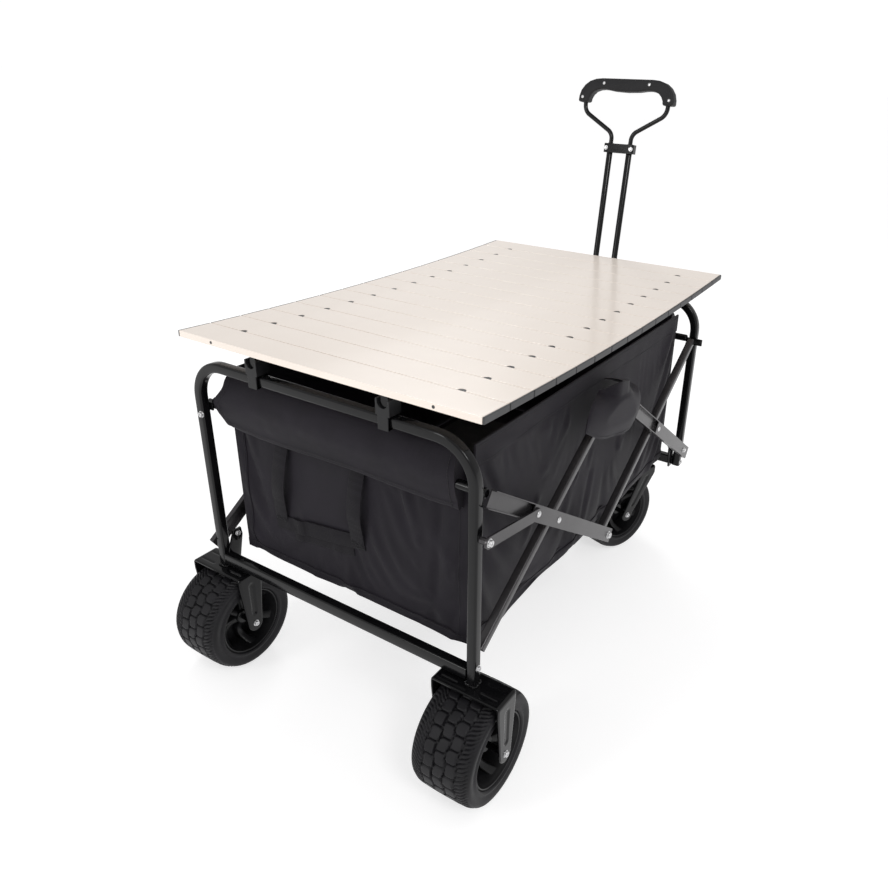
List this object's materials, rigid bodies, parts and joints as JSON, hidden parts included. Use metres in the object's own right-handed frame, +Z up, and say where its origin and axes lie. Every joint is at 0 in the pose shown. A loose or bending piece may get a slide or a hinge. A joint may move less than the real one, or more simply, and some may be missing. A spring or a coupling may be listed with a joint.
{
  "type": "folding camp wagon",
  "caption": "Folding camp wagon with a scissor-linked tube frame, fabric basket, wide wheels, telescoping pull handle and a roll-up slat table top.",
  "frame": {"origin": "bottom centre of the bounding box, on the floor", "axes": "+X towards the pull handle, +Y to the left, +Z up"},
  "size_m": [1.0634, 0.642, 0.9849],
  "materials": {
    "black_steel": "gloss powder coat",
    "grey_steel": "satin dark grey powder coat",
    "tyre_rubber": "matte block tread",
    "black_plastic": "moulded",
    "grip_rubber": "soft textured grip",
    "black_fabric": "woven polyester",
    "floor_board": "hard board",
    "ivory_slat": "gloss ivory coat"
  },
  "bodies": {
    "rear_frame": {"rear_hoop": "black_steel", "rear_cross_rail": "black_steel", "rear_end_rail": "black_steel", "rear_fork_left": "black_steel", "rear_fork_right": "black_steel", "rear_end_panel": "black_fabric", "rear_clip_left": "black_plastic", "rear_clip_right": "black_plastic", "basket_sides_and_floor": "black_fabric"},
    "rear_rising_bars": {"rear_rising_bar_left": "grey_steel", "rear_rising_bar_right": "grey_steel"},
    "rear_falling_bars": {"rear_falling_bar_left": "grey_steel", "rear_falling_bar_right": "grey_steel"},
    "front_rising_bars": {"front_rising_bar_left": "grey_steel", "front_rising_bar_right": "grey_steel"},
    "front_falling_bars": {"front_falling_bar_left": "grey_steel", "front_falling_bar_right": "grey_steel"},
    "front_frame": {"front_hoop": "black_steel", "front_cross_rail": "black_steel", "front_end_rail": "black_steel", "front_end_panel": "black_fabric", "front_clip_left": "black_plastic", "front_clip_right": "black_plastic", "handle_bracket": "black_steel"},
    "stay_right": {"stay_link_right": "grey_steel"},
    "stay_left": {"stay_link_left": "grey_steel"},
    "floor_rear": {"floor_board_rear": "floor_board"},
    "floor_front": {"floor_board_front": "floor_board"},
    "table_rails": {"table_rail_left": "black_steel", "table_rail_right": "black_steel"},
    "handle_lower": {"handle_lower_tubes": "black_steel", "handle_clamp": "black_plastic"},
    "handle_upper": {"handle_upper_loop": "black_steel", "handle_grip": "grip_rubber"},
    "slat_01_body": {"slat_01": "ivory_slat"},
    "slat_02_body": {"slat_02": "ivory_slat"},
    "slat_03_body": {"slat_03": "ivory_slat"},
    "slat_04_body": {"slat_04": "ivory_slat"},
    "slat_05_body": {"slat_05": "ivory_slat"},
    "slat_06_body": {"slat_06": "ivory_slat"},
    "slat_07_body": {"slat_07": "ivory_slat"},
    "slat_08_body": {"slat_08": "ivory_slat"},
    "slat_09_body": {"slat_09": "ivory_slat"},
    "slat_10_body": {"slat_10": "ivory_slat"},
    "slat_11_body": {"slat_11": "ivory_slat"},
    "slat_12_body": {"slat_12": "ivory_slat"},
    "slat_13_body": {"slat_13": "ivory_slat"},
    "slat_14_body": {"slat_14": "ivory_slat"},
    "slat_15_body": {"slat_15": "ivory_slat"},
    "rear_wheel_left": {"rear_left_tyre": "tyre_rubber", "rear_left_rim": "black_plastic"},
    "caster_left": {"caster_fork_left": "black_steel"},
    "front_wheel_left": {"front_left_tyre": "tyre_rubber", "front_left_rim": "black_plastic"},
    "rear_wheel_right": {"rear_right_tyre": "tyre_rubber", "rear_right_rim": "black_plastic"},
    "caster_right": {"caster_fork_right": "black_steel"},
    "front_wheel_right": {"front_right_tyre": "tyre_rubber", "front_right_rim": "black_plastic"}
  },
  "joints": [
    {"name": "fold", "type": "hinge", "parent": "rear_frame", "child": "rear_rising_bars", "pos_m": [-0.421, 0, 0.25], "axis": [0, -1, 0], "range_deg": [0, 43], "deforming": ["basket_sides_and_floor"]},
    {"name": "rear_crossing", "type": "hinge", "parent": "rear_rising_bars", "child": "rear_falling_bars", "pos_m": [-0.23982, 0, 0.37], "axis": [0, -1, 0], "range_deg": [-87, 0]},
    {"name": "middle_top", "type": "hinge", "parent": "rear_rising_bars", "child": "front_rising_bars", "pos_m": [-0.036, 0, 0.505], "axis": [0, -1, 0], "range_deg": [-87, 0]},
    {"name": "front_crossing", "type": "hinge", "parent": "front_rising_bars", "child": "front_falling_bars", "pos_m": [0.16782, 0, 0.37], "axis": [0, -1, 0], "range_deg": [0, 87]},
    {"name": "front_low_pivot", "type": "hinge", "parent": "front_rising_bars", "child": "front_frame", "pos_m": [0.349, 0, 0.25], "axis": [0, -1, 0], "range_deg": [0, 44]},
    {"name": "stay_swing_right", "type": "hinge", "parent": "rear_frame", "child": "stay_right", "pos_m": [-0.443, -0.275, 0.44], "axis": [0, -1, 0], "range_deg": [0, 78]},
    {"name": "stay_swing_left", "type": "hinge", "parent": "front_frame", "child": "stay_left", "pos_m": [0.371, 0.275, 0.44], "axis": [0, 1, 0], "range_deg": [0, 78]},
    {"name": "floor_rear_hinge", "type": "hinge", "parent": "rear_frame", "child": "floor_rear", "pos_m": [-0.4, 0, 0.2463], "axis": [0, -1, 0], "range_deg": [0, 80]},
    {"name": "floor_middle_hinge", "type": "hinge", "parent": "floor_rear", "child": "floor_front", "pos_m": [-0.08, 0, 0.2463], "axis": [0, -1, 0], "range_deg": [-160, 0]},
    {"name": "table_clearance", "type": "slide", "parent": "front_frame", "child": "table_rails", "axis": [0, 0, 1], "range_m": [0, 0.13]},
    {"name": "table_lift", "type": "slide", "parent": "table_rails", "child": "slat_01_body", "axis": [0, 0, 1], "range_m": [0, 0.15]},
    {"name": "roll_02", "type": "hinge", "parent": "slat_01_body", "child": "slat_02_body", "pos_m": [-0.3949, 0, 0.61744], "axis": [0, -1, 0], "range_deg": [0, 21]},
    {"name": "roll_03", "type": "hinge", "parent": "slat_02_body", "child": "slat_03_body", "pos_m": [-0.33494, 0, 0.61524], "axis": [0, -1, 0], "range_deg": [0, 21]},
    {"name": "roll_04", "type": "hinge", "parent": "slat_03_body", "child": "slat_04_body", "pos_m": [-0.27497, 0, 0.6134], "axis": [0, -1, 0], "range_deg": [0, 21]},
    {"name": "roll_05", "type": "hinge", "parent": "slat_04_body", "child": "slat_05_body", "pos_m": [-0.21498, 0, 0.61194], "axis": [0, -1, 0], "range_deg": [0, 21]},
    {"name": "roll_06", "type": "hinge", "parent": "slat_05_body", "child": "slat_06_body", "pos_m": [-0.15499, 0, 0.61084], "axis": [0, -1, 0], "range_deg": [0, 21]},
    {"name": "roll_07", "type": "hinge", "parent": "slat_06_body", "child": "slat_07_body", "pos_m": [-0.095, 0, 0.61011], "axis": [0, -1, 0], "range_deg": [0, 21]},
    {"name": "roll_08", "type": "hinge", "parent": "slat_07_body", "child": "slat_08_body", "pos_m": [-0.035, 0, 0.60974], "axis": [0, -1, 0], "range_deg": [0, 21]},
    {"name": "roll_09", "type": "hinge", "parent": "slat_08_body", "child": "slat_09_body", "pos_m": [0.025, 0, 0.60974], "axis": [0, -1, 0], "range_deg": [0, 21]},
    {"name": "roll_10", "type": "hinge", "parent": "slat_09_body", "child": "slat_10_body", "pos_m": [0.085, 0, 0.61011], "axis": [0, -1, 0], "range_deg": [0, 21]},
    {"name": "roll_11", "type": "hinge", "parent": "slat_10_body", "child": "slat_11_body", "pos_m": [0.14499, 0, 0.61084], "axis": [0, -1, 0], "range_deg": [0, 21]},
    {"name": "roll_12", "type": "hinge", "parent": "slat_11_body", "child": "slat_12_body", "pos_m": [0.20498, 0, 0.61194], "axis": [0, -1, 0], "range_deg": [0, 21]},
    {"name": "roll_13", "type": "hinge", "parent": "slat_12_body", "child": "slat_13_body", "pos_m": [0.26497, 0, 0.6134], "axis": [0, -1, 0], "range_deg": [0, 21]},
    {"name": "roll_14", "type": "hinge", "parent": "slat_13_body", "child": "slat_14_body", "pos_m": [0.32494, 0, 0.61524], "axis": [0, -1, 0], "range_deg": [0, 21]},
    {"name": "roll_15", "type": "hinge", "parent": "slat_14_body", "child": "slat_15_body", "pos_m": [0.3849, 0, 0.61744], "axis": [0, -1, 0], "range_deg": [0, 21]},
    {"name": "rear_spin_left", "type": "hinge", "parent": "rear_frame", "child": "rear_wheel_left", "pos_m": [-0.443, 0.262, 0.089], "axis": [0, 1, 0], "continuous": true},
    {"name": "caster_swivel_left", "type": "hinge", "parent": "front_frame", "child": "caster_left", "pos_m": [0.351, 0.158, 0.193], "axis": [0, 0, 1], "continuous": true},
    {"name": "front_spin_left", "type": "hinge", "parent": "caster_left", "child": "front_wheel_left", "pos_m": [0.29932, 0.17681, 0.089], "axis": [0.342, 0.9397, 0], "continuous": true},
    {"name": "rear_spin_right", "type": "hinge", "parent": "rear_frame", "child": "rear_wheel_right", "pos_m": [-0.443, -0.262, 0.089], "axis": [0, 1, 0], "continuous": true},
    {"name": "caster_swivel_right", "type": "hinge", "parent": "front_frame", "child": "caster_right", "pos_m": [0.351, -0.158, 0.193], "axis": [0, 0, 1], "continuous": true},
    {"name": "front_spin_right", "type": "hinge", "parent": "caster_right", "child": "front_wheel_right", "pos_m": [0.29932, -0.13919, 0.089], "axis": [0.342, 0.9397, 0], "continuous": true},
    {"name": "handle_swing", "type": "hinge", "parent": "front_frame", "child": "handle_lower", "pos_m": [0.417, 0, 0.205], "axis": [0, 1, 0], "range_deg": [0, 75]},
    {"name": "handle_extend", "type": "slide", "parent": "handle_lower", "child": "handle_upper", "axis": [0.1305, 0, 0.9914], "range_m": [0, 0.25]}
  ],
  "couplings": [
    {"joint": "rear_crossing", "follows": "fold", "ratio": -2},
    {"joint": "middle_top", "follows": "fold", "ratio": -2},
    {"joint": "front_crossing", "follows": "fold", "ratio": 2},
    {"joint": "front_low_pivot", "follows": "fold", "ratio": 1},
    {"joint": "stay_swing_right", "follows": "fold", "ratio": 1.705},
    {"joint": "stay_swing_left", "follows": "fold", "ratio": 1.705},
    {"joint": "floor_rear_hinge", "follows": "fold", "ratio": 1.85},
    {"joint": "floor_middle_hinge", "follows": "fold", "ratio": -3.7},
    {"joint": "table_clearance", "follows": "fold", "m_per_rad": 0.17},
    {"joint": "roll_03", "follows": "roll_02", "ratio": 1},
    {"joint": "roll_04", "follows": "roll_02", "ratio": 1},
    {"joint": "roll_05", "follows": "roll_02", "ratio": 1},
    {"joint": "roll_06", "follows": "roll_02", "ratio": 1},
    {"joint": "roll_07", "follows": "roll_02", "ratio": 1},
    {"joint": "roll_08", "follows": "roll_02", "ratio": 1},
    {"joint": "roll_09", "follows": "roll_02", "ratio": 1},
    {"joint": "roll_10", "follows": "roll_02", "ratio": 1},
    {"joint": "roll_11", "follows": "roll_02", "ratio": 1},
    {"joint": "roll_12", "follows": "roll_02", "ratio": 1},
    {"joint": "roll_13", "follows": "roll_02", "ratio": 1},
    {"joint": "roll_14", "follows": "roll_02", "ratio": 1},
    {"joint": "roll_15", "follows": "roll_02", "ratio": 1}
  ]
}
